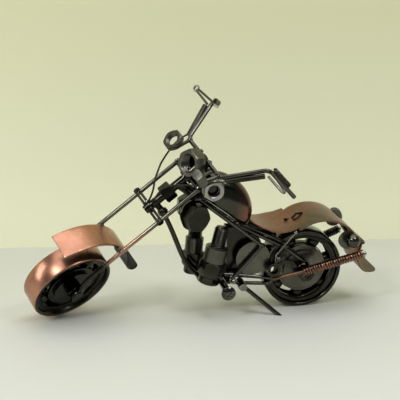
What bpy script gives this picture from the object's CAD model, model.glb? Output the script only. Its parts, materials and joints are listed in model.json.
import json
import math

import bpy
from mathutils import Matrix, Vector, noise


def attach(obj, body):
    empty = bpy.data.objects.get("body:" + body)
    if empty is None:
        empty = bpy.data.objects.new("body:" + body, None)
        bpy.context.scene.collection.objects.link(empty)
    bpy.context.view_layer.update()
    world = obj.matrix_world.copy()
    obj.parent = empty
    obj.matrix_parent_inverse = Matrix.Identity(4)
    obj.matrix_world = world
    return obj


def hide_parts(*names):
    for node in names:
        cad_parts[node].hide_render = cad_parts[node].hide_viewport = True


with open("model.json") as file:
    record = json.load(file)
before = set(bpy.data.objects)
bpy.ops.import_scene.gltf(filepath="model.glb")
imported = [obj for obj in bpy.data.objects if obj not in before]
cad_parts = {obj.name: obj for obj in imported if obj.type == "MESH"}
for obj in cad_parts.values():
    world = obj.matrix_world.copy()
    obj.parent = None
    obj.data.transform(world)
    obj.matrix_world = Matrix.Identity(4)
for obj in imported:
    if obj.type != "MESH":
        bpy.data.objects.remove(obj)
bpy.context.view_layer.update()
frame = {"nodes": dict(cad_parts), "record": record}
nodes = frame["nodes"]

# ---------------------------------------------------------------------------
# Dimensions in mm, the same as in the part's source
# ---------------------------------------------------------------------------
MM = 0.001
SHIFT = Vector((-8.976, 6.98, 0.0))
LEAN, STEER, RAKE = math.radians(8), math.radians(39), math.radians(39)
WHEEL_R, WHEEL_W = 28.8, 16.0
REAR_X, HEAD_X, AXLE_T, AXLE_M, LEG_Y = 78.0, -23.4, 84.5, 7.5, 13.5
ROD_R, WIRE_R = 1.5, 0.65
PITCH_R, RACE_R, LAND_OUT, WALL = 20.2, 4.68, 22.3, 2.7
STAY_Y, FRAME_Y, NECK_Y, CYL_Y = 11.0, 12.2, 9.0, 12.0
# Each cylinder: place along the bike, side, base height, lean in degrees, how much slimmer it is
CYLINDERS = ((8.7, -CYL_Y, 27.0, 12.0, 0.0), (2.5, CYL_Y, 24.6, 3.0, 1.3))
FENDER_Y, SHEET = 19.5, 1.2
REAR_Z = WHEEL_R + WHEEL_W / 2 * math.tan(LEAN)
NEAR = Vector((math.sin(RAKE) * math.sin(STEER), -math.cos(STEER), -math.cos(RAKE) * math.sin(STEER)))
FRONT = Vector((-math.sin(RAKE) * math.cos(STEER), -math.sin(STEER), math.cos(RAKE) * math.cos(STEER)))
UP = Vector((math.cos(RAKE), 0, math.sin(RAKE)))
TILT = math.cos(LEAN) * NEAR.z + math.sin(LEAN) * NEAR.y
LOW = WHEEL_R * math.sqrt(1 - TILT * TILT) + WHEEL_W / 2 * abs(TILT)
AXLE_OFF = -AXLE_T * UP - AXLE_M * FRONT
HEAD_Z = (LOW - math.sin(LEAN) * AXLE_OFF.y) / math.cos(LEAN) - AXLE_OFF.z

BIKE = Matrix.Translation(SHIFT) @ Matrix.Rotation(LEAN, 4, "X")
FORK = (BIKE @ Matrix.Translation((HEAD_X, 0, HEAD_Z))
        @ Matrix.Rotation(-RAKE, 4, "Y") @ Matrix.Rotation(STEER, 4, "X"))
FRONT_AXLE = FORK @ Matrix.Translation((-AXLE_T, 0, -AXLE_M)) @ Matrix.Rotation(math.pi / 2, 4, "X")
REAR_AXLE = BIKE @ Matrix.Translation((REAR_X, 0, REAR_Z)) @ Matrix.Rotation(math.pi / 2, 4, "X")
FLIP = Matrix.Scale(-1, 4, (0, 1, 0))


def aim(at, direction):
    """A frame at a point with its +Z along a direction."""
    z = Vector(direction).normalized()
    rot = Matrix.Rotation(math.atan2(z.y, z.x), 4, "Z") @ Matrix.Rotation(math.acos(z.z), 4, "Y")
    return Matrix.Translation(Vector(at)) @ rot


# ---------------------------------------------------------------------------
# Camera
# ---------------------------------------------------------------------------
CAM_A, CAM_E, CAM_D = math.radians(12.78), math.radians(11.58), 581.52
target = Vector((6.54, 0, 79.28)) + SHIFT
back = Vector((-math.sin(CAM_A) * math.cos(CAM_E), -math.cos(CAM_A) * math.cos(CAM_E), math.sin(CAM_E)))
right = Vector((math.cos(CAM_A), -math.sin(CAM_A), 0))
up = back.cross(right)
cam_data = bpy.data.cameras.new("camera")
cam_data.sensor_width = 36
cam_data.lens = 75.89
cam_data.clip_start, cam_data.clip_end = 0.01, 50
cam = bpy.data.objects.new("camera", cam_data)
bpy.context.scene.collection.objects.link(cam)
basis = Matrix((right, up, back)).transposed().to_4x4()
cam.matrix_world = Matrix.Translation((target + back * CAM_D) * MM) @ basis
bpy.context.scene.camera = cam


# ---------------------------------------------------------------------------
# Materials
# ---------------------------------------------------------------------------
class Nodes:
    """A short way to write a material's node tree."""

    def __init__(self, name):
        self.mat = bpy.data.materials.new(name)
        self.mat.use_nodes = True
        self.tree = self.mat.node_tree
        self.bsdf = self.tree.nodes["Principled BSDF"]

    def add(self, kind, **values):
        node = self.tree.nodes.new(kind)
        for key, value in values.items():
            if hasattr(node, key):
                setattr(node, key, value)
            else:
                node.inputs[key.replace("_", " ")].default_value = value
        return node

    def link(self, a, b):
        self.tree.links.new(a, b)

    def noise(self, scale, detail=3.0, rough=0.55):
        n = self.add("ShaderNodeTexNoise")
        n.inputs["Scale"].default_value = scale
        n.inputs["Detail"].default_value = detail
        n.inputs["Roughness"].default_value = rough
        self.link(self.coord, n.inputs["Vector"])
        return n.outputs["Fac"]

    @property
    def coord(self):
        if not hasattr(self, "_coord"):
            self._coord = self.add("ShaderNodeTexCoord").outputs["Object"]
        return self._coord

    def ramp(self, fac, lo, hi, out_lo, out_hi):
        n = self.add("ShaderNodeMapRange")
        self.link(fac, n.inputs["Value"])
        for key, value in (("From Min", lo), ("From Max", hi), ("To Min", out_lo), ("To Max", out_hi)):
            n.inputs[key].default_value = value
        return n.outputs["Result"]

    def mix(self, fac, a, b):
        n = self.add("ShaderNodeMix", data_type="RGBA")
        self.link(fac, n.inputs["Factor"])
        for socket, value in ((n.inputs[6], a), (n.inputs[7], b)):
            if isinstance(value, tuple):
                socket.default_value = (*value, 1)
            else:
                self.link(value, socket)
        return n.outputs[2]

    def edges(self, radius):
        """1 on sharp outer edges, 0 on flat faces."""
        bevel = self.add("ShaderNodeBevel", samples=4)
        bevel.inputs["Radius"].default_value = radius
        geo = self.add("ShaderNodeNewGeometry")
        dot = self.add("ShaderNodeVectorMath", operation="DOT_PRODUCT")
        self.link(bevel.outputs["Normal"], dot.inputs[0])
        self.link(geo.outputs["Normal"], dot.inputs[1])
        return self.ramp(dot.outputs["Value"], 0.985, 0.80, 0.0, 1.0)

    def bump(self, height, strength, distance):
        n = self.add("ShaderNodeBump")
        n.inputs["Strength"].default_value = strength
        n.inputs["Distance"].default_value = distance
        self.link(height, n.inputs["Height"])
        self.link(n.outputs["Normal"], self.bsdf.inputs["Normal"])


def metal(name, base, stain, worn, rough, rough_var=0.12, edge=0.0004, grain=0.25, coat=0.0, brushed=None,
          cloud_scale=70, tint=None):
    """Plated metal: cloudy tarnish, fine grain, small pits and rubbed edges."""
    m = Nodes(name)
    cloud = m.noise(cloud_scale, 4)
    fine = m.noise(900, 2)
    patch = m.ramp(cloud, 0.38, 0.66, 0.0, 1.0)
    colour = m.mix(patch, base, stain)
    if edge:
        rub = m.edges(edge)
        keep = m.add("ShaderNodeMath", operation="MULTIPLY")
        m.link(rub, keep.inputs[0])
        m.link(m.ramp(m.noise(260, 3), 0.35, 0.6, 0.25, 0.9), keep.inputs[1])
        colour = m.mix(keep.outputs[0], colour, worn)
    if tint:
        # A heat-coloured end: the tint comes in along X, broken up by a cloud
        sep = m.add("ShaderNodeSeparateXYZ")
        m.link(m.coord, sep.inputs[0])
        fade = m.add("ShaderNodeMath", operation="MULTIPLY")
        m.link(m.ramp(sep.outputs[0], tint[1], tint[2], 0.0, 0.8), fade.inputs[0])
        m.link(m.ramp(m.noise(45, 2), 0.35, 0.6, 0.2, 1.0), fade.inputs[1])
        colour = m.mix(fade.outputs[0], colour, tint[0])
    m.link(colour, m.bsdf.inputs["Base Color"])
    m.bsdf.inputs["Metallic"].default_value = 1.0
    m.bsdf.inputs["Coat Weight"].default_value = coat
    m.link(m.ramp(cloud, 0.3, 0.7, rough - rough_var / 2, rough + rough_var), m.bsdf.inputs["Roughness"])
    height = fine
    if brushed:
        stretch = m.add("ShaderNodeMapping")
        stretch.inputs["Scale"].default_value = brushed
        m.link(m.coord, stretch.inputs["Vector"])
        lines = m.add("ShaderNodeTexNoise")
        lines.inputs["Scale"].default_value = 1.0
        lines.inputs["Detail"].default_value = 2.0
        m.link(stretch.outputs["Vector"], lines.inputs["Vector"])
        add = m.add("ShaderNodeMath", operation="ADD")
        m.link(fine, add.inputs[0])
        m.link(lines.outputs["Fac"], add.inputs[1])
        height = add.outputs[0]
    m.bump(height, grain, 0.00006)
    return m.mat


black = metal("black_nickel", (0.026, 0.025, 0.02), (0.05, 0.047, 0.037), (0.30, 0.285, 0.24), 0.17)
polished = metal("polished_gunmetal", (0.10, 0.096, 0.08), (0.055, 0.052, 0.043),
                 (0.50, 0.48, 0.42), 0.12, 0.06)
zinc = metal("zinc_grey", (0.125, 0.122, 0.10), (0.08, 0.079, 0.064), (0.42, 0.41, 0.36), 0.28, 0.1)
copper = metal("copper_tone", (0.48, 0.235, 0.155), (0.34, 0.165, 0.108), (0.80, 0.55, 0.42), 0.26, 0.1,
               edge=0.0005, brushed=(90, 1400, 90))
brown = metal("copper_brown", (0.25, 0.112, 0.068), (0.092, 0.085, 0.055), (0.60, 0.40, 0.29), 0.30, 0.12,
              edge=0.0005, brushed=(1400, 90, 90), cloud_scale=26)
dark_brown = metal("spring_brown", (0.26, 0.13, 0.085), (0.10, 0.062, 0.044), (0.50, 0.30, 0.22), 0.24, 0.1)
bright = metal("bright_steel", (0.30, 0.292, 0.255), (0.17, 0.165, 0.14), (0.7, 0.68, 0.62), 0.2, 0.1)
tank_mat = metal("tank_black", (0.062, 0.063, 0.05), (0.045, 0.045, 0.035),
                 (0.4, 0.35, 0.28), 0.12, 0.05, edge=0, cloud_scale=22,
                 tint=((0.30, 0.12, 0.075), 0.017, 0.027))
light_nut = metal("light_zinc", (0.42, 0.42, 0.38), (0.30, 0.30, 0.265), (0.7, 0.7, 0.66), 0.34, 0.1)
inner = metal("sheet_inside", (0.02, 0.02, 0.017), (0.035, 0.035, 0.03), (0.2, 0.19, 0.17), 0.42, 0.1, edge=0)

SLOT_MATERIALS = {"black_nickel": black, "polished_gunmetal": polished, "zinc_grey": zinc,
                  "copper_tone": copper, "bright_steel": bright, "tank_black": tank_mat}
slot_of = {s["node"]: s["material_slot"] for s in frame["record"]["subparts"]}
# Pieces round the neck and on the bolt that read as black between the brighter rods
DARK_NODES = {"head_nut", "upper_yoke", "bar_stem", "headlight_body", "cross_washers",
              "lower_yoke", "neck_sleeve", "front_balls", "rear_balls", "front_hub", "pivot_nuts"}
for node_name, obj in nodes.items():
    if not obj.material_slots:
        obj.data.materials.append(None)
    for material_slot in obj.material_slots:
        material_slot.material = black if node_name in DARK_NODES else SLOT_MATERIALS[slot_of[node_name]]


# ---------------------------------------------------------------------------
# Mesh building
# ---------------------------------------------------------------------------
class Build:
    """Collects vertices in mm and faces, then becomes one Blender object in metres."""

    def __init__(self):
        self.verts, self.faces, self.mats = [], [], []

    def grid(self, rows, close_u=False, close_v=False, mat=0, mat_rows=None):
        """Quads over rows of points; u runs along a row, v from row to row."""
        base, n, k = len(self.verts), len(rows), len(rows[0])
        for row in rows:
            self.verts.extend(row)
        for i in range(n if close_v else n - 1):
            for j in range(k if close_u else k - 1):
                a, b = i * k + j, i * k + (j + 1) % k
                c, d = ((i + 1) % n) * k + (j + 1) % k, ((i + 1) % n) * k + j
                self.faces.append((base + a, base + b, base + c, base + d))
                self.mats.append(mat_rows[i] if mat_rows else mat)

    def cap(self, row, flip=False, mat=0):
        base = len(self.verts)
        self.verts.extend(row)
        face = tuple(range(base, base + len(row)))
        self.faces.append(face[::-1] if flip else face)
        self.mats.append(mat)

    def tube(self, matrix, points, radius, segs=20, bend=2.0, mat=0, steps=6):
        """A rod along points with its corners rounded at a bend radius, and softly turned ends."""
        path = rounded([Vector(p) for p in points], bend, steps)
        self.sweep(matrix, path, radius, segs, mat)

    def sweep(self, matrix, path, radius, segs=20, mat=0):
        rows, normal = [], None
        last = len(path) - 1
        for i, p in enumerate(path):
            t = (path[min(i + 1, last)] - path[max(i - 1, 0)]).normalized()
            if normal is None:
                normal = t.orthogonal().normalized()
            normal = (normal - t * normal.dot(t)).normalized()
            side = t.cross(normal)
            r = radius(i / last) if callable(radius) else radius
            ring = [p + (normal * math.cos(q) + side * math.sin(q)) * r for q in turns(segs)]
            if i in (0, last):
                tip = t * (0.18 * r) * (1 if i else -1)
                lip = [p + (q - p) * 0.8 + tip for q in ring]
                body = ring
                rows.extend([body, lip] if i else [lip, body])
            else:
                rows.append(ring)
        rows = [[matrix @ q for q in row] for row in rows]
        self.grid(rows, close_u=True, mat=mat)
        self.cap(rows[0], flip=True, mat=mat)
        self.cap(rows[-1], mat=mat)

    def lathe(self, matrix, profile, segs=96, mat=0, mats=None, close=True):
        rows = [[matrix @ Vector((r * math.cos(q), r * math.sin(q), z)) for q in turns(segs)]
                for r, z in profile]
        self.grid(rows, close_u=True, close_v=close, mat=mat, mat_rows=mats)

    def thread(self, matrix, radius, z0, z1, pitch, depth=None, segs=36, per=6, inside=False, mat=0):
        """A screw thread as one helical surface, open at both ends."""
        depth = depth or 0.55 * pitch
        count = max(2, int((z1 - z0) / pitch * per))
        rows = []
        for i in range(count + 1):
            z = z0 + (z1 - z0) * i / count
            row = []
            for q in turns(segs):
                phase = (z / pitch - q / math.tau) % 1
                cut = depth * min(1, max(0, abs(phase * 2 - 1) * 1.25 - 0.12))
                r = radius + (cut if inside else -cut)
                row.append(matrix @ Vector((r * math.cos(q), r * math.sin(q), z)))
            rows.append(row)
        self.grid(rows if not inside else rows[::-1], close_u=True, mat=mat)
        return rows

    def nut(self, matrix, across, height, hole, pitch=1.25, mat=0, thread_mat=None):
        """A hexagon nut with turned chamfers and a threaded hole."""
        segs = 72
        half = across / 2

        def corner(q):
            return half / math.cos((q + math.pi / 6) % (math.pi / 3) - math.pi / 6)

        def ring(radius, z):
            return [matrix @ Vector((radius(q) * math.cos(q), radius(q) * math.sin(q), z(q)))
                    for q in turns(segs)]

        def drop(q):
            return max(0, corner(q) - half) * 0.62

        mouth = hole + 0.5 * pitch
        rows = [ring(lambda q: hole, lambda q: 0.5 * pitch), ring(lambda q: mouth, lambda q: 0),
                ring(lambda q: half * 0.985, lambda q: 0),
                ring(corner, lambda q: drop(q) + 0.12), ring(corner, lambda q: height - drop(q) - 0.12),
                ring(lambda q: half * 0.985, lambda q: height),
                ring(lambda q: mouth, lambda q: height), ring(lambda q: hole, lambda q: height - 0.5 * pitch)]
        self.grid(rows, close_u=True, mat=mat)
        self.thread(matrix, hole, 0.5 * pitch, height - 0.5 * pitch, pitch, segs=segs, inside=True,
                    mat=mat if thread_mat is None else thread_mat)

    def blob(self, matrix, at, r, seed=0.0, stretch=(1, 1, 1), mat=0):
        """A weld bead: a lumpy, flattened drop."""
        rows = []
        for i in range(1, 8):
            a = math.pi * i / 8
            row = []
            for q in turns(14):
                d = Vector((math.sin(a) * math.cos(q), math.sin(a) * math.sin(q), math.cos(a)))
                lump = 1 + 0.22 * noise.noise(d * 1.9 + Vector((seed, seed * 1.7, 3.1)))
                flat = Vector((d.x * stretch[0], d.y * stretch[1], d.z * stretch[2]))
                row.append(matrix @ (Vector(at) + flat * r * lump))
            rows.append(row)
        self.grid(rows, close_u=True, mat=mat)
        self.cap(rows[0], flip=True, mat=mat)
        self.cap(rows[-1], mat=mat)

    def helix(self, matrix, a, b, radius, wire, count, segs=10, mat=0, start=0.0):
        """A coil spring from a to b with closed, flat-lying ends."""
        a, b = Vector(a), Vector(b)
        local = matrix @ aim(a, b - a)
        length = (b - a).length
        path, steps = [], 22
        for i in range(count * steps + 1):
            q = i / steps * math.tau + start
            path.append(Vector((radius * math.cos(q), radius * math.sin(q), length * i / (count * steps))))
        self.sweep(local, path, wire, segs, mat)

    def sheet(self, matrix, path, half_width, thick, mats=(0, 1), across=12, crown=0.0):
        """A bent metal sheet along path, given as (x, z) points, with width(s) for s from 0 to 1."""
        pts = [Vector((x, 0, z)) for x, z in path]
        total = [0.0]
        for p, q in zip(pts, pts[1:]):
            total.append(total[-1] + (q - p).length)
        outer, under = [], []
        for i, p in enumerate(pts):
            t = (pts[min(i + 1, len(pts) - 1)] - pts[max(i - 1, 0)]).normalized()
            n = Vector((-t.z, 0, t.x))
            w = half_width(total[i] / total[-1])
            row_o, row_u = [], []
            for j in range(across + 1):
                y = w * (2 * j / across - 1)
                lift = -crown * (2 * j / across - 1) ** 2
                row_o.append(matrix @ (p + n * (thick / 2 + lift) + Vector((0, y, 0))))
                row_u.append(matrix @ (p + n * (-thick / 2 + lift) + Vector((0, y, 0))))
            outer.append(row_o)
            under.append(row_u)
        loop = [o + u[::-1] for o, u in zip(outer, under)]
        k = across + 1
        base, n = len(self.verts), len(loop)
        for row in loop:
            self.verts.extend(row)
        for i in range(n - 1):
            for j in range(2 * k):
                a, b = i * 2 * k + j, i * 2 * k + (j + 1) % (2 * k)
                c, d = a + 2 * k, b + 2 * k
                self.faces.append((base + a, base + b, base + d, base + c))
                self.mats.append(mats[0] if j < k - 1 else (mats[1] if k <= j < 2 * k - 1 else mats[0]))
        for i, flip in ((0, False), (n - 1, True)):
            for j in range(k - 1):
                a, b = i * 2 * k + j, i * 2 * k + j + 1
                c, d = i * 2 * k + 2 * k - 2 - j, i * 2 * k + 2 * k - 1 - j
                face = (base + a, base + b, base + c, base + d)
                self.faces.append(face[::-1] if not flip else face)
                self.mats.append(mats[0])

    def finish(self, name, body, materials, replaces=(), bevel=0.0, smooth=35):
        mesh = bpy.data.meshes.new(name)
        mesh.from_pydata([tuple(Vector(v) * MM) for v in self.verts], [], self.faces)
        for i, poly in enumerate(mesh.polygons):
            poly.material_index = self.mats[i]
        for material in materials:
            mesh.materials.append(material)
        obj = bpy.data.objects.new(name, mesh)
        bpy.context.scene.collection.objects.link(obj)
        weld = obj.modifiers.new("weld", "WELD")
        weld.merge_threshold = 0.00001
        if bevel:
            mod = obj.modifiers.new("bevel", "BEVEL")
            mod.width = bevel * MM
            mod.segments = 2
            mod.limit_method = "ANGLE"
            mod.angle_limit = math.radians(40)
        bake(obj)
        fix_normals(obj.data)
        obj.data.set_sharp_from_angle(angle=math.radians(smooth))
        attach(obj, body)
        if replaces:
            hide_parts(*replaces)
        return obj


def turns(n):
    return [math.tau * i / n for i in range(n)]


def bake(obj):
    """Applies the modifiers to the mesh."""
    depsgraph = bpy.context.evaluated_depsgraph_get()
    mesh = bpy.data.meshes.new_from_object(obj.evaluated_get(depsgraph))
    obj.modifiers.clear()
    obj.data = mesh


def fix_normals(mesh):
    import bmesh
    bm = bmesh.new()
    bm.from_mesh(mesh)
    bmesh.ops.recalc_face_normals(bm, faces=bm.faces)
    bm.to_mesh(mesh)
    bm.free()
    for poly in mesh.polygons:
        poly.use_smooth = True


def rounded(points, bend, steps=6):
    """The path with each corner replaced by an arc."""
    out = [points[0]]
    for a, p, b in zip(points, points[1:], points[2:]):
        u, v = (a - p), (b - p)
        cut = min(bend * 1.4, u.length * 0.45, v.length * 0.45)
        start, end = p + u.normalized() * cut, p + v.normalized() * cut
        for i in range(steps + 1):
            s = i / steps
            out.append(start * (1 - s) ** 2 + p * (2 * s * (1 - s)) + end * s ** 2)
    out.append(points[-1])
    return out


def smooth_path(points, per=8):
    """A curve that passes through all the points."""
    pts = [Vector(p) for p in points]
    full = [pts[0] * 2 - pts[1]] + pts + [pts[-1] * 2 - pts[-2]]
    out = []
    for a, b, c, d in zip(full, full[1:], full[2:], full[3:]):
        for i in range(per):
            s = i / per
            out.append(0.5 * (2 * b + (c - a) * s + (2 * a - 5 * b + 4 * c - d) * s * s
                              + (3 * b - a - 3 * c + d) * s ** 3))
    out.append(pts[-1])
    return out


def arc_point(c, r, q):
    return (c[0] + r * math.cos(math.radians(q)), c[1] + r * math.sin(math.radians(q)))


# ---------------------------------------------------------------------------
# Wheels
# ---------------------------------------------------------------------------
def tyre_profile():
    w, r = WHEEL_W / 2, WHEEL_R
    groove_z = math.sqrt(RACE_R ** 2 - (LAND_OUT - PITCH_R) ** 2)
    a0 = math.atan2(groove_z, LAND_OUT - PITCH_R)
    groove = [(PITCH_R + RACE_R * math.cos(a0 * (1 - 2 * i / 12)), RACE_R * math.sin(a0 * (1 - 2 * i / 12)))
              for i in range(13)]
    pts = [(r - 0.8, -w), (r - 0.25, -w + 0.22), (r, -w + 0.8), (r, w - 0.8),
           (r - 0.25, w - 0.22), (r - 0.8, w), (r - WALL + 0.4, w), (r - WALL, w - 0.4),
           (r - WALL - 0.6, 5.8), (LAND_OUT + 0.5, 5.45), (LAND_OUT, 5.0)]
    side = [0, 0, 0, 0, 0, 1, 1, 1, 1, 1, 1]
    pts += groove + [(LAND_OUT, -5.0), (LAND_OUT + 0.5, -5.45), (r - WALL - 0.6, -5.8), (r - WALL, -w + 0.4),
                     (r - WALL + 0.4, -w)]
    side += [1] * 13 + [1] * 5
    side[-1] = 1
    return pts, side


for name, matrix, skin, slot_name in (("front", FRONT_AXLE, copper, "copper_tone"),
                                      ("rear", REAR_AXLE, polished, "polished_gunmetal")):
    b = Build()
    pts, side = tyre_profile()
    b.lathe(matrix, pts, 128, mats=side)
    b.finish(name + "_wheel_ring", name + "_wheel", [skin, black], [name + "_tyre"])


# ---------------------------------------------------------------------------
# Rods, bars and cables
# ---------------------------------------------------------------------------
def y_pair(points):
    """The points as given, and mirrored to the other side."""
    return [[Vector(p) for p in points], [Vector((p[0], -p[1], p[2])) for p in points]]


b = Build()
NECK, BEND, KNEE = (1, 86.3), (45.8, 51.8), (26.1, 29.1)
for pts in y_pair([(NECK[0], -NECK_Y, NECK[1]), (BEND[0], -FRAME_Y, BEND[1]), (KNEE[0], -FRAME_Y, KNEE[1])]):
    b.tube(BIKE, pts, ROD_R, 24, 2.2)
b.finish("backbone_loop", "chassis", [polished], ["backbone_rods"])

b = Build()
DOWN = [(-21.5, -2.6, 75.5), (-15.9, -3.2, 63.8), (-6.4, -4, 39.7), (0.5, -4.5, 30.4), (17, -5, 24.6)]
for pts in y_pair(DOWN):
    b.tube(BIKE, pts, 1.6, 24, 5)
b.blob(BIKE, (-21.5, 0, 75.5), 3.4, 1.3)
b.tube(BIKE, [(-21.5, 0, 75.5), Vector((HEAD_X, 0, HEAD_Z)) - UP * 4.5], 2.2, 24)
b.finish("front_down_tubes", "chassis", [black], ["down_tubes"])

b = Build()
for pts in y_pair([(28, -NECK_Y, 66.5), (63.2, -STAY_Y, 48.7), (REAR_X + 2, -STAY_Y, REAR_Z + 5)]):
    b.tube(BIKE, pts, ROD_R, 24, 6)
for pts in y_pair([(26, -6, 68.2), (50, -STAY_Y + 1.4, 58.6), (63.2, -STAY_Y, 51.6)]):
    b.tube(BIKE, pts, 1.2, 20, 6)
for side in (-1, 1):
    m = (BIKE @ Matrix.Translation((REAR_X, side * (STAY_Y + 0.2), REAR_Z))
         @ Matrix.Rotation(math.pi / 2, 4, "X"))
    b.lathe(m, [(3.02, -1.2), (6.1, -1.2), (6.4, -0.9), (6.4, 0.9), (6.1, 1.2), (3.02, 1.2)], 64)
b.finish("rear_stay_rods", "chassis", [polished], ["rear_stays"], smooth=30)

ROOT, TURN, END = (39.6, -19.3, 4.6), (67.6, -33.7, -2.4), (70, -47, -31)
b = Build()
bar_path = [END, TURN, ROOT, (ROOT[0], 19.3, ROOT[2]), (TURN[0], 33.7, TURN[2]), (END[0], 47, END[2])]
b.tube(FORK, bar_path, ROD_R, 24, 3)
b.finish("handlebar_rod", "fork", [polished], ["handlebar"])

root, turn, end = Vector(ROOT), Vector(TURN), Vector(END)
b = Build()
for m in (FORK, FORK @ FLIP):
    tip = turn + Vector((-1.9, -17.3, -2.8))
    b.tube(m, [turn + Vector((-3.2, -2.6, -1.2)), tip + Vector((-0.9, 0.6, 0)), tip + Vector((0, -1.0, 0)),
               tip + Vector((0.9, 0.6, 0)), turn + Vector((0.4, -1, 0.4))], 0.85, 14, 1.2)
eye = (FORK @ FLIP @ Matrix.Translation(turn + Vector((-1.9, -19.9, -3.4)))
       @ Matrix.Rotation(math.radians(-20), 4, "Y"))
b.lathe(eye, [(1.2, -0.6), (1.5, -0.9), (2.3, -0.9), (2.6, -0.5),
              (2.6, 0.5), (2.3, 0.9), (1.5, 0.9), (1.2, 0.6)], 40)
b.finish("lever_wires", "fork", [polished], ["brake_levers"])

b = Build()
offset = Vector((2.4, 0, 0))
for m in (FORK, FORK @ FLIP):
    p, q = turn.lerp(end, 0.1) + offset, turn.lerp(end, 0.66) + offset
    b.tube(m, [p.lerp(q, 0.02), p.lerp(q, 0.98)], 1.1, 18)
    b.helix(m, p, q, 1.42, 0.55, 15, 8)
b.finish("grip_springs", "fork", [black], ["hand_grips"])

b = Build()
for m in (FORK, FORK @ FLIP):
    b.tube(m, [root + Vector((1.7, -3.5, -2.5)), turn + Vector((-5, -1.6, 0.6))], 1.8, 24)
b.finish("cable_sleeves", "fork", [black], ["cable_housings"])

CABLES = [[(42.4, 23.6, 1.8), (34, 25, 2), (25.1, 22, 4.1), (16, 17, 6.8), (11, 13, 8.2), (5.6, 9.4, 7.8),
           (1, 6, 5.6), (-3.4, 3.8, 3.6), (-7.6, 2.6, 1.8)],
          [(42.4, -23.6, 1.8), (39.9, -22.9, 4), (36.8, -21.5, 6.2), (33.3, -20.1, 7.9), (29.3, -18.8, 7.9),
           (25.5, -15.4, 8), (21.2, -11.3, 8.4), (13.5, -6, 11.1), (8, -4, 13),
           (2.5, -3, 11.8), (-4, -2.6, 7),
           (-7.6, -2.6, 3.2)]]
b = Build()
for points in CABLES:
    b.sweep(FORK, smooth_path(points), WIRE_R, 14)
b.finish("brake_cable_wires", "fork", [black], ["brake_cables"])

# Polished fork legs that pick up a copper tone towards the wheel
m = Nodes("fork_leg_steel")
sep = m.add("ShaderNodeSeparateXYZ")
m.link(m.coord, sep.inputs[0])
warm = m.ramp(sep.outputs[2], 0.068, 0.055, 0.0, 1.0)
dark = m.ramp(sep.outputs[2], 0.0445, 0.0405, 0.0, 1.0)
m.link(m.mix(dark, m.mix(warm, (0.13, 0.125, 0.105), (0.38, 0.225, 0.165)), (0.035, 0.033, 0.027)),
       m.bsdf.inputs["Base Color"])
m.bsdf.inputs["Metallic"].default_value = 1.0
m.link(m.ramp(m.noise(90, 4), 0.3, 0.7, 0.14, 0.27), m.bsdf.inputs["Roughness"])
m.bump(m.noise(900, 2), 0.2, 0.00005)
leg_mat = m.mat

b = Build()
for side in (-1, 1):
    b.tube(FORK, [(25, side * LEG_Y, 0), (-72, side * LEG_Y, 0), (-80, side * LEG_Y, -4.4)], ROD_R, 28, 5)
    b.blob(FORK, (25, side * LEG_Y, 0), 1.8, side * 2.2)
    m = FORK @ Matrix.Translation((-AXLE_T, side * LEG_Y, -AXLE_M)) @ Matrix.Rotation(math.pi / 2, 4, "X")
    rows = []
    for r_in, z in ((3.02, -1), (0, -1), (0, 1), (3.02, 1)):
        row = []
        for q in turns(72):
            spread = 4.2 + 4.8 * max(0, math.cos(q - math.radians(30))) ** 14 \
                + 1.8 * max(0, math.cos(q - math.radians(200))) ** 8
            radius = r_in if r_in else spread
            row.append(m @ Vector((radius * math.cos(q), radius * math.sin(q), z)))
        rows.append(row)
    b.grid(rows, close_u=True, close_v=True)
b.finish("fork_leg_rods", "fork", [leg_mat], ["fork_legs"], bevel=0.2, smooth=30)

# ---------------------------------------------------------------------------
# Exhausts: a rod inside a long spring on each side
# ---------------------------------------------------------------------------
PIPE = [(55.4, -12.4, 26.2), (75, -18, 32.6), (115, -23.6, 45.8)]
for label, m, mat, slot_name in (("left", BIKE, brown, "copper_tone"),
                                 ("right", BIKE @ FLIP, black, "black_nickel")):
    b = Build()
    b.tube(m, PIPE, 1.4, 20, 5)
    b.finish("exhaust_rod_" + label, "chassis", [mat], ["exhaust_pipes"])
    b = Build()
    b.helix(m, PIPE[1], PIPE[2], 2.3, 0.84, 24, 10)
    b.finish("exhaust_spring_" + label, "chassis", [black if mat is black else dark_brown],
             ["exhaust_springs"])

# ---------------------------------------------------------------------------
# Sheet parts
# ---------------------------------------------------------------------------
FENDER_C, FENDER_R = (87.4, 41.8), 29.0
arc = [arc_point(FENDER_C, FENDER_R - SHEET / 2, 129 - 89 * i / 30) for i in range(31)]
TAIL = [(116.6, 54), (118.4, 50), (116.8, 39.4), (118.2, 33.2), (122.6, 28.4), (132.6, 27.6)]


def path2(points, per=8):
    return [(p.x, p.z) for p in smooth_path([(x, 0, z) for x, z in points], per)]


ear = path2([arc[-1], TAIL[0], TAIL[1]], 8)


# Half widths of the rear fender's tail and of the front fender, and the front fender's radius
TAIL_HALF, FRONT_HALF, FRONT_FENDER_R = 14.5, 9.3, 43.8


def rounded_end(half, cut, round_len=0.16):
    """A sheet's half width along its length, drawn in by `cut` at a rounded far end."""
    def width(s):
        if s > 1 - round_len:
            return half - cut * (1 - math.sqrt(max(0, 1 - ((s - 1 + round_len) / round_len) ** 2)))
        return half
    return width


ear_end = rounded_end(FENDER_Y, 4.0, 0.07)


def ear_width(s):
    if s < 0.02:
        return FENDER_Y - 1.2 * (1 - s / 0.02)
    return ear_end(s)


b = Build()
b.sheet(BIKE, arc + ear[1:], ear_width, SHEET, (0, 1), 16)
tail = path2([((TAIL[0][0] + TAIL[1][0]) / 2, 52)] + TAIL[1:], 8)
b.sheet(BIKE, tail, rounded_end(TAIL_HALF, 5.0), SHEET - 0.2, (0, 0), 12)
b.finish("rear_fender_sheet", "chassis", [brown, inner], ["rear_fender"], bevel=0.25)

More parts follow.
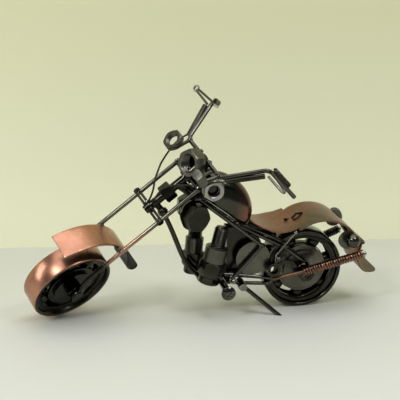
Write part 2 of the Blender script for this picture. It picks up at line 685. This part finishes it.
arc_f = [arc_point((0, 0), FRONT_FENDER_R, 68 - 75 * i / 30) for i in range(31)]
tail_f = path2([arc_f[-1], (39, -16), (34.6, -24), (35.6, -30.4), (39.6, -34)], 8)
swap_yz = Matrix(((1, 0, 0, 0), (0, 0, 1, 0), (0, 1, 0, 0), (0, 0, 0, 1)))

b = Build()
b.sheet(FRONT_AXLE @ swap_yz, arc_f, lambda s: FRONT_HALF, SHEET, (0, 1), 10)
b.sheet(FRONT_AXLE @ swap_yz, tail_f, rounded_end(FRONT_HALF, 2.6), SHEET, (1, 1), 10)
b.finish("front_fender_sheet", "fork", [copper, inner], ["front_fender"], bevel=0.25)

# The seat: a bent copper pan, narrow at the tank and wide at the fender
SEAT_OUTLINE = [(36, 4.5), (45, 12), (55, 18.5), (62, 19.4), (69, 19.3)]
outline = path2([(x, z) for x, z in SEAT_OUTLINE], 6)


def seat_z(x):
    return 95 - math.sqrt(32.2 ** 2 - (x - 55.5) ** 2) + SHEET / 2


b = Build()
seat_pts = [(x, seat_z(x)) for x, _ in outline]
widths = [w for _, w in outline]
lengths = [0.0]
for p, q in zip(seat_pts, seat_pts[1:]):
    lengths.append(lengths[-1] + math.dist(p, q))


def seat_width(s):
    """The outline's half width at a share of the seat's length."""
    d = s * lengths[-1]
    for i in range(1, len(lengths)):
        if d <= lengths[i] + 1e-6:
            k = (d - lengths[i - 1]) / (lengths[i] - lengths[i - 1])
            return widths[i - 1] + (widths[i] - widths[i - 1]) * k
    return widths[-1]


b.sheet(BIKE, seat_pts, seat_width, SHEET, (0, 1), 16)
b.finish("seat_pan", "chassis", [brown, inner], ["seat"], bevel=0.25)

# The tank: a pressed teardrop shell lying on the backbone, lofted from round sections
TANK = BIKE @ Matrix.Translation((NECK[0], 0, NECK[1])) @ Matrix.Rotation(math.radians(36.2), 4, "Y")
# Along the backbone: station, top height, half width
TANK_LINE = [(-4.0, 12.0, 1.0), (-3.2, 16.0, 4.6), (-1, 19.4, 7.2), (3, 21.9, 9.6),
             (8, 23.6, 11.4), (14, 24.4, 12.8), (20, 24.1, 13.3), (25, 23.1, 13.2),
             (30, 21.0, 12.6), (34, 18.3, 11.5), (37.4, 14.6, 9.8), (39.6, 10.0, 7.4),
             (40.5, 6.0, 4.4), (40.7, 4.6, 1.2)]
TANK_FLOOR, TANK_WAIST = 1.8, 7.5
b = Build()
rows = []
for x, top, half in smooth_path(TANK_LINE, 5):
    waist = min(TANK_WAIST, TANK_FLOOR + (top - TANK_FLOOR) * 0.5)
    row = []
    for q in turns(72):
        cx, sz = math.cos(q), math.sin(q)
        power = 0.92 if sz > 0 else 0.62
        reach = (top - waist) if sz > 0 else (waist - TANK_FLOOR)
        across = half * math.copysign(abs(cx) ** power, cx)
        row.append(TANK @ Vector((x, across, waist + reach * math.copysign(abs(sz) ** power, sz))))
    rows.append(row)
b.grid(rows, close_u=True)
b.cap(rows[0], flip=True)
b.cap(rows[-1])
b.finish("tank_shell", "chassis", [tank_mat], ["tank"], smooth=60)

# ---------------------------------------------------------------------------
# Nuts and studs
# ---------------------------------------------------------------------------
LAMP_DIR = Vector((-math.cos(math.radians(56)), 0, math.sin(math.radians(56))))
LAMP_AT = Vector((29, 0, 12.4))
b = Build()
b.nut(FORK @ aim(LAMP_AT - 8 * LAMP_DIR, LAMP_DIR), 17.6, 8, 5.9, 1.5)
b.finish("headlight_ring_nut", "fork", [zinc], ["headlight_nut"], bevel=0.15, smooth=30)

b = Build()
b.nut(FORK @ aim((26.4, -16, 15.4), (1, 0, 0)), 12, 6, 3.9, 1.25)
b.nut(FORK @ aim((31.4, 17.4, 14.6), (-0.1, 0.2, 0.95)), 12.6, 4.6, 3.9, 1.25)
b.tube(FORK, [(30, -16.6, 9.4), (39.6, -17.6, 4.6)], 1.3)
b.tube(FORK, [(31.4, 14, 13.4), (39.6, 17.6, 4.6)], 1.3)
b.finish("turn_signal_nuts", "fork", [zinc], ["signal_nuts"], bevel=0.12, smooth=30)

b = Build()
for m in (BIKE, BIKE @ FLIP):
    m = m @ Matrix.Translation((9.1, -6, 94.4)) @ Matrix.Rotation(math.pi / 2, 4, "X")
    b.nut(m @ Matrix.Translation((0, 0, 8.1)), 13, 4.4, 4, 1.25, thread_mat=1)
    b.lathe(m, [(4.0, 6.6), (7.0, 6.6), (7.2, 6.8), (7.2, 7.8), (7.0, 8.0), (4.0, 8.0)], 72)
    rows = b.thread(m, 3.85, 0, 8.6, 1.25, 0.5, mat=1)
    b.cap(rows[0], flip=True, mat=1)
    b.cap(rows[-1], mat=1)
b.finish("side_bolt_nuts", "chassis", [light_nut, black], ["side_nuts"], bevel=0.12, smooth=30)

b = Build()
c = Build()
for x, y, z, lean, slim in CYLINDERS:
    m = BIKE @ Matrix.Translation((x, y, z)) @ Matrix.Rotation(math.radians(lean), 4, "Y")
    rows = b.thread(m, 5.0, 0, 39.8, 1.5, 0.85)
    b.cap(rows[0], flip=True)
    top = [m @ Vector((3.9 * math.cos(q), 3.9 * math.sin(q), 40.6)) for q in turns(36)]
    b.grid([rows[-1], top], close_u=True)
    b.cap(top)
    c.nut(m @ Matrix.Translation((0, 0, 5.4)) @ Matrix.Rotation(math.radians(14), 4, "Z"), 16.4 - 2 * slim,
          10.6, 5.02, 1.5)
    r = 7.4 - slim
    c.lathe(m, [(5.02, 0), (r - 0.3, 0), (r, 0.3), (r, 4.9), (r - 0.3, 5.2), (5.02, 5.2)], 72)
b.finish("cylinder_threads", "chassis", [black], ["cylinder_studs"], smooth=60)
c.finish("cylinder_base_nuts", "chassis", [black], ["cylinder_nuts"], bevel=0.15, smooth=30)

# ---------------------------------------------------------------------------
# Weld beads
# ---------------------------------------------------------------------------
CHASSIS_WELDS = [(28, -9, 66.8, 2.1), (28, 9, 66.8, 2.1), (45.8, -12.2, 51.8, 1.9), (26.1, -12.2, 29.3, 1.9),
                 (1, -9, 86.3, 2.2), (1, 9, 86.3, 2.2), (63.2, -11.2, 49.6, 2.2), (63.2, 11.2, 49.6, 2.2),
                 (17, -8.2, 31, 1.9), (56.2, -11.6, 30.4, 2.0), (56.2, 11.6, 30.4, 2.0)]
b = Build()
for i, (x, y, z, r) in enumerate(CHASSIS_WELDS):
    b.blob(BIKE, (x, y, z), r, i * 1.37, (1.15, 0.85, 0.95))
b.finish("weld_beads_frame", "chassis", [polished])

FORK_WELDS = [(24, -13.5, 0.4, 2.2), (24, 13.5, 0.4, 2.2), (-9.6, -13.5, 0.8, 2.2), (-9.6, 13.5, 0.8, 2.2),
              (-42.8, -13.2, 0, 1.9), (-42.8, 13.2, 0, 1.9), (39.6, -5.4, 4.6, 2.3), (39.6, 5.4, 4.6, 2.3),
              (39.6, -17.6, 4.8, 2.0), (39.6, 17.6, 4.8, 2.0), (-8.2, -2.6, 2.6, 1.2), (-8.2, 2.6, 2.6, 1.2)]
b = Build()
for i, (x, y, z, r) in enumerate(FORK_WELDS):
    b.blob(FORK, (x, y, z), r, i * 2.11 + 5, (1.1, 0.9, 0.9))
b.finish("weld_beads_fork", "fork", [polished])

# ---------------------------------------------------------------------------
# Stage and light
# ---------------------------------------------------------------------------
def stage_plane(name, corners, mat):
    mesh = bpy.data.meshes.new(name)
    mesh.from_pydata(corners, [], [(0, 1, 2, 3)])
    mesh.materials.append(mat)
    obj = bpy.data.objects.new(name, mesh)
    bpy.context.scene.collection.objects.link(obj)
    return obj


def shaded(name, axis, ends, dark, light, scale, rough):
    """A plain surface that gets lighter along one axis, with a faint cloud in it."""
    m = Nodes(name)
    sep = m.add("ShaderNodeSeparateXYZ")
    m.link(m.coord, sep.inputs[0])
    along = m.add("ShaderNodeMath", operation="MULTIPLY")
    m.link(m.ramp(sep.outputs[axis], ends[0], ends[1], 0.0, 1.0), along.inputs[0])
    m.link(m.ramp(m.noise(scale, 3), 0.3, 0.7, 0.93, 1.0), along.inputs[1])
    m.link(m.mix(along.outputs[0], dark, light), m.bsdf.inputs["Base Color"])
    m.bsdf.inputs["Roughness"].default_value = rough
    m.bsdf.inputs["Specular IOR Level"].default_value = 0.25
    return m.mat


table_mat = shaded("table_top", 1, (0.17, -0.25), (0.555, 0.565, 0.50), (0.63, 0.638, 0.615), 6, 0.6)
wall_mat = shaded("wall", 2, (0.21, 0.03), (0.655, 0.665, 0.43), (0.865, 0.87, 0.64), 3, 0.85)

# In metres: how far the stage reaches, the wall's lower and upper ends, and the line where the
# table meets the wall, a little askew to the bike
FAR, WALL_FOOT, WALL_TOP = 3.0, -0.3, 2.4
EDGE_MID, EDGE_DIR = Vector((0.0429, 0.1879, 0)), Vector((0.9916, -0.1297, 0))
west, east = EDGE_MID - EDGE_DIR * FAR, EDGE_MID + EDGE_DIR * FAR
south = Vector((0, -FAR, 0))
stage_plane("table", [west + south, east + south, east, west], table_mat)
down, high = Vector((0, 0, WALL_FOOT)), Vector((0, 0, WALL_TOP))
stage_plane("wall", [west + down, east + down, east + high, west + high], wall_mat)

SKY, SKY_STRENGTH = (0.95, 0.97, 1.0, 1), 0.16
world = bpy.data.worlds.new("studio")
world.use_nodes = True
world.node_tree.nodes["Background"].inputs["Color"].default_value = SKY
world.node_tree.nodes["Background"].inputs["Strength"].default_value = SKY_STRENGTH
bpy.context.scene.world = world


def area(name, at, look, size, power, colour=(1, 1, 1)):
    data = bpy.data.lights.new(name, "AREA")
    data.shape = "RECTANGLE"
    data.size, data.size_y = size
    data.energy = power
    data.color = colour
    obj = bpy.data.objects.new(name, data)
    obj.location = at
    obj.rotation_euler = (Vector(look) - Vector(at)).to_track_quat("-Z", "Y").to_euler()
    bpy.context.scene.collection.objects.link(obj)


area("top", (0.05, 0.0, 1.0), (0, 0.02, 0), (1.6, 1.2), 11.6, (1, 1, 1))
area("key", (-0.75, -0.7, 0.85), (0, 0, 0.05), (0.3, 0.2), 5.0, (1.0, 0.99, 0.97))
area("window", (0.44, -0.65, 0.86), (0.01, 0, 0.09), (0.30, 0.13), 2.6, (1, 1, 1))
area("left", (-0.9, 0.0, 0.35), (-0.05, 0, 0.05), (0.2, 0.5), 1.3, (1, 0.99, 0.97))

scene = bpy.context.scene
scene.view_settings.view_transform = "Standard"
scene.view_settings.look = "None"
